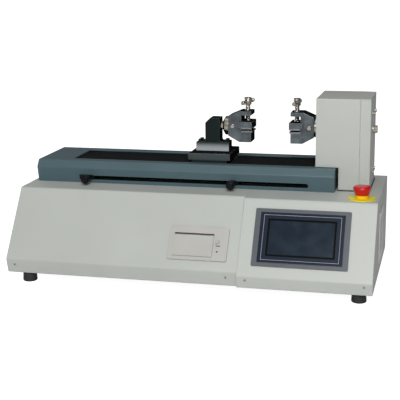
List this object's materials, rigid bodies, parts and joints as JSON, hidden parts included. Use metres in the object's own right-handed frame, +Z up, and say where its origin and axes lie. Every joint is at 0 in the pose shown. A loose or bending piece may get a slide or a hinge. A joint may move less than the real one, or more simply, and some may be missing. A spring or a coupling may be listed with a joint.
{
  "type": "horizontal tensile testing machine",
  "caption": "Bench horizontal tensile tester with sloping console, bellows-covered rail, driven carriage, facing screw grips, load-cell column, display, printer and stop button.",
  "frame": {"origin": "on the ground plane under the middle of the cabinet", "axes": "+X along the rail towards the load-cell column, +Y to the rear, +Z up"},
  "size_m": [0.86, 0.4101, 0.425],
  "materials": {
    "cabinet_paint": "fine-textured pale grey paint",
    "black_metal": "satin black",
    "foot_rubber": "matt",
    "plate_aluminium": "anodised, brushed",
    "black_plastic": "fine grain",
    "bezel_plastic": "fine grain",
    "display_glass": "glossy",
    "printer_plastic": "fine grain",
    "button_plastic": "satin",
    "paper": "matt thermal paper",
    "yellow_plate": "satin",
    "orange_plastic": "satin",
    "stem_plastic": "plain",
    "red_plastic": "glossy",
    "rail_paint": "satin blue-grey paint",
    "machined_steel": "machined",
    "belt_rubber": "matt",
    "dark_metal": "blackened",
    "bellows_rubber": "ribbed, matt",
    "bright_steel": "nickel plated",
    "grip_steel": "blued, machined",
    "column_paint": "fine-textured pale grey paint",
    "board_green": "solder mask"
  },
  "bodies": {
    "base": {"cabinet_shell": "cabinet_paint", "console_housing": "cabinet_paint", "base_plate": "black_metal", "rubber_feet": "foot_rubber", "rear_panel": "cabinet_paint", "side_vent_plate": "plate_aluminium", "power_inlet": "black_plastic", "display_bezel": "bezel_plastic", "display_glass": "display_glass", "printer_frame": "printer_plastic", "stop_disc": "yellow_plate", "stop_collar": "orange_plastic", "rail_housing": "rail_paint", "rail_bed": "plate_aluminium", "guide_rails": "machined_steel", "screw_supports": "plate_aluminium", "drive_belt": "belt_rubber", "drive_motor": "black_metal", "bellows_left": "bellows_rubber", "bellows_right": "bellows_rubber", "load_shaft": "bright_steel", "right_grip_body": "grip_steel", "right_lower_pad": "machined_steel", "column_cover": "column_paint", "column_side_cover": "column_paint", "load_cell": "machined_steel", "load_cell_frame": "black_metal", "electronics": "board_green", "case_screws": "bright_steel"},
    "power_rocker": {"switch_rocker": "black_plastic"},
    "door": {"printer_door": "printer_plastic"},
    "button": {"feed_button": "button_plastic"},
    "roll": {"paper_roll": "paper"},
    "stop_plunger": {"stop_stem": "stem_plastic"},
    "stop_mushroom": {"stop_head": "red_plastic"},
    "screw": {"ball_screw": "machined_steel", "screw_pulley": "plate_aluminium"},
    "motor_rotor": {"motor_pulley": "plate_aluminium"},
    "carriage": {"carriage_plate": "plate_aluminium", "guide_blocks": "machined_steel", "ball_nut": "machined_steel", "grip_bracket": "dark_metal", "left_stud": "bright_steel", "left_collar": "bright_steel", "left_grip_body": "grip_steel", "left_lower_pad": "machined_steel"},
    "left_jaw_block": {"left_jaw": "grip_steel", "left_upper_pad": "machined_steel"},
    "left_screw": {"left_grip_screw": "bright_steel"},
    "left_bar": {"left_tommy_bar": "bright_steel"},
    "left_pin": {"left_grip_pin": "bright_steel"},
    "right_jaw_block": {"right_jaw": "grip_steel", "right_upper_pad": "machined_steel"},
    "right_screw": {"right_grip_screw": "bright_steel"},
    "right_bar": {"right_tommy_bar": "bright_steel"},
    "right_pin": {"right_grip_pin": "bright_steel"},
    "left_travel_stop": {"left_stop": "black_metal"},
    "left_clamp_knob": {"left_stop_knob": "black_plastic"},
    "right_travel_stop": {"right_stop": "black_metal"},
    "right_clamp_knob": {"right_stop_knob": "black_plastic"}
  },
  "joints": [
    {"name": "carriage_slide", "type": "slide", "parent": "base", "child": "carriage", "axis": [1, 0, 0], "range_m": [-0.2, 0.09], "deforming": ["bellows_left", "bellows_right"]},
    {"name": "screw_spin", "type": "hinge", "parent": "base", "child": "screw", "pos_m": [-0.05, 0.075, 0.227], "axis": [1, 0, 0], "range_deg": [-6490, 14410]},
    {"name": "motor_spin", "type": "hinge", "parent": "base", "child": "motor_rotor", "pos_m": [-0.39, 0.075, 0.11], "axis": [1, 0, 0], "range_deg": [-9730, 21610]},
    {"name": "left_jaw_slide", "type": "slide", "parent": "carriage", "child": "left_jaw_block", "axis": [0, 0, 1], "range_m": [-0.0044, 0.014]},
    {"name": "left_screw_turn", "type": "hinge", "parent": "left_jaw_block", "child": "left_screw", "pos_m": [0.098, 0.075, 0.39], "axis": [0, 0, 1], "range_deg": [-915, 2890]},
    {"name": "left_bar_slide", "type": "slide", "parent": "left_screw", "child": "left_bar", "axis": [0.1908, 0.9816, 0], "range_m": [-0.0165, 0.0165]},
    {"name": "left_pin_pull", "type": "slide", "parent": "carriage", "child": "left_pin", "axis": [0, -1, 0], "range_m": [0, 0.05]},
    {"name": "right_jaw_slide", "type": "slide", "parent": "base", "child": "right_jaw_block", "axis": [0, 0, 1], "range_m": [-0.0044, 0.014]},
    {"name": "right_screw_turn", "type": "hinge", "parent": "right_jaw_block", "child": "right_screw", "pos_m": [0.218, 0.075, 0.39], "axis": [0, 0, 1], "range_deg": [-915, 2890]},
    {"name": "right_bar_slide", "type": "slide", "parent": "right_screw", "child": "right_bar", "axis": [0.0698, 0.9976, 0], "range_m": [-0.0165, 0.0165]},
    {"name": "right_pin_pull", "type": "slide", "parent": "base", "child": "right_pin", "axis": [0, -1, 0], "range_m": [0, 0.05]},
    {"name": "left_stop_slide", "type": "slide", "parent": "base", "child": "left_travel_stop", "axis": [1, 0, 0], "range_m": [-0.0135, 0.142]},
    {"name": "left_knob_turn", "type": "hinge", "parent": "left_travel_stop", "child": "left_clamp_knob", "pos_m": [-0.281, -0.01895, 0.223], "axis": [0, -1, 0], "range_deg": [0, 720]},
    {"name": "right_stop_slide", "type": "slide", "parent": "base", "child": "right_travel_stop", "axis": [1, 0, 0], "range_m": [-0.183, 0.167]},
    {"name": "right_knob_turn", "type": "hinge", "parent": "right_travel_stop", "child": "right_clamp_knob", "pos_m": [0.08, -0.01895, 0.223], "axis": [0, -1, 0], "range_deg": [0, 720]},
    {"name": "stop_push", "type": "slide", "parent": "base", "child": "stop_plunger", "axis": [0, 0, 1], "range_m": [-0.004, 0], "stiffness_N_per_m": 1500, "springref_m": 0.002},
    {"name": "stop_twist", "type": "hinge", "parent": "stop_plunger", "child": "stop_mushroom", "pos_m": [0.3895, -0.067, 0.23], "axis": [0, 0, 1], "range_deg": [0, 45]},
    {"name": "printer_door_hinge", "type": "hinge", "parent": "base", "child": "door", "pos_m": [0.02, -0.1843, 0.08737], "axis": [1, 0, 0], "range_deg": [0, 90]},
    {"name": "feed_press", "type": "slide", "parent": "base", "child": "button", "axis": [0, -0.8134, 0.5817], "range_m": [-0.0012, 0], "stiffness_N_per_m": 400, "springref_m": 0.0005},
    {"name": "paper_roll_spin", "type": "hinge", "parent": "base", "child": "roll", "pos_m": [0.0075, -0.15153, 0.08299], "axis": [1, 0, 0], "continuous": true},
    {"name": "power_switch", "type": "hinge", "parent": "base", "child": "power_rocker", "pos_m": [0.2535, 0.1974, 0.086], "axis": [1, 0, 0], "range_deg": [0, 14]}
  ],
  "couplings": [
    {"joint": "screw_spin", "follows": "carriage_slide", "rad_per_m": -1256.6},
    {"joint": "motor_spin", "follows": "carriage_slide", "rad_per_m": -1885},
    {"joint": "left_screw_turn", "follows": "left_jaw_slide", "rad_per_m": 3590.4},
    {"joint": "right_screw_turn", "follows": "right_jaw_slide", "rad_per_m": 3590.4}
  ]
}
